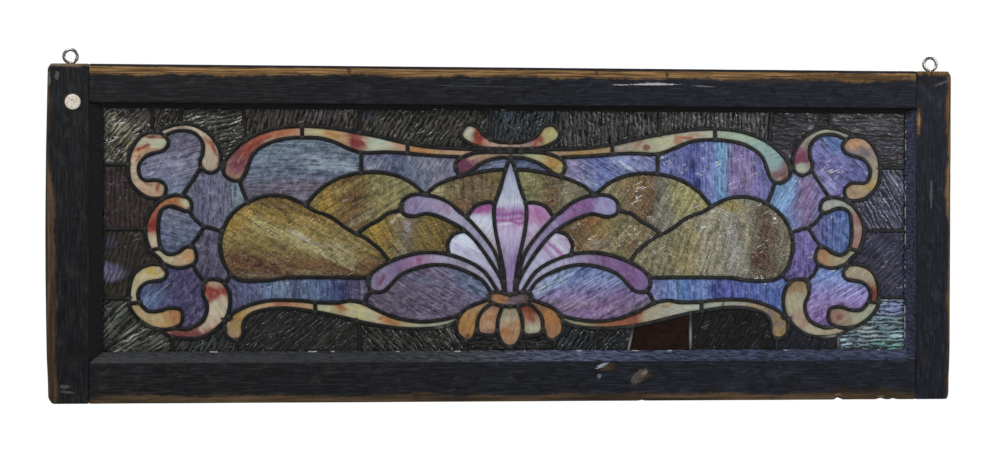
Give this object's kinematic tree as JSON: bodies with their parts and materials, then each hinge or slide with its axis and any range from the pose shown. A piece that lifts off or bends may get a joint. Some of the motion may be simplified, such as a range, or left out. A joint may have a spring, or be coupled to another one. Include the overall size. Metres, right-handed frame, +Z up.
{
  "type": "stained glass window",
  "caption": "Wide leaded stained glass panel of scrolls and a palmette in a dark painted wooden sash, hung from screw eyes on its top edge.",
  "frame": {"origin": "midpoint between the centres of the screw-eye rings above the top edge, at half the sash thickness", "axes": "+Z up, +X to the right seen from the front, the front face looks along -Y"},
  "size_m": [1.2, 0.0367, 0.4643],
  "materials": {
    "wood": "worn dark paint over softwood, bare along the edges",
    "putty": "hard linseed putty, painted dark",
    "lead": "darkened lead came with grey worn crowns",
    "steel": "bright zinc-plated wire, slightly dulled",
    "tack": "aged cream paint",
    "border_glass": "dark rippled glass",
    "ground_glass": "streaky lavender-blue opalescent glass",
    "amber_glass": "mottled olive-amber opalescent glass",
    "scroll_glass": "cream opalescent glass with orange and red streaks",
    "plume_glass": "streaky lavender opalescent glass",
    "pink_glass": "white and pink opalescent glass",
    "peach_glass": "peach opalescent glass"
  },
  "bodies": {
    "root": {"stile_left": "wood", "stile_right": "wood", "rail_top": "wood", "rail_bottom": "wood", "bead_top": "putty", "bead_bottom": "putty", "bead_left": "putty", "bead_right": "putty", "screw_eye_left": "steel", "screw_eye_right": "steel", "tack": "tack", "lead_lattice": "lead", "ground_left": "ground_glass", "ground_right": "ground_glass", "curl_upper_left": "scroll_glass", "curl_upper_right": "scroll_glass", "arc_upper_left": "scroll_glass", "arc_upper_right": "scroll_glass", "hook_middle_left": "scroll_glass", "hook_middle_right": "scroll_glass", "curl_lower_left": "scroll_glass", "curl_lower_right": "scroll_glass", "arc_lower_left": "scroll_glass", "arc_lower_right": "scroll_glass", "scroll_upper_left": "scroll_glass", "scroll_upper_right": "scroll_glass", "scroll_lower_left": "scroll_glass", "scroll_lower_right": "scroll_glass", "oval_left": "amber_glass", "oval_right": "amber_glass", "dome_outer_left": "amber_glass", "dome_outer_right": "amber_glass", "dome_middle_left": "amber_glass", "dome_middle_right": "amber_glass", "dome_inner_left": "amber_glass", "dome_inner_right": "amber_glass", "crest_fill_left": "ground_glass", "crest_fill_right": "ground_glass", "petal_upper_left": "pink_glass", "petal_upper_right": "pink_glass", "petal_lower_left": "pink_glass", "petal_lower_right": "pink_glass", "plume_upper_left": "plume_glass", "plume_upper_right": "plume_glass", "plume_lower_left": "plume_glass", "plume_lower_right": "plume_glass", "lobe_left": "plume_glass", "lobe_right": "plume_glass", "drop_outer_left": "peach_glass", "drop_outer_right": "peach_glass", "drop_inner_left": "peach_glass", "drop_inner_right": "peach_glass", "border": "border_glass", "crest_upper": "scroll_glass", "crest_lower": "scroll_glass", "spear": "plume_glass", "knot": "peach_glass", "drop_centre": "peach_glass"}
  },
  "joints": []
}
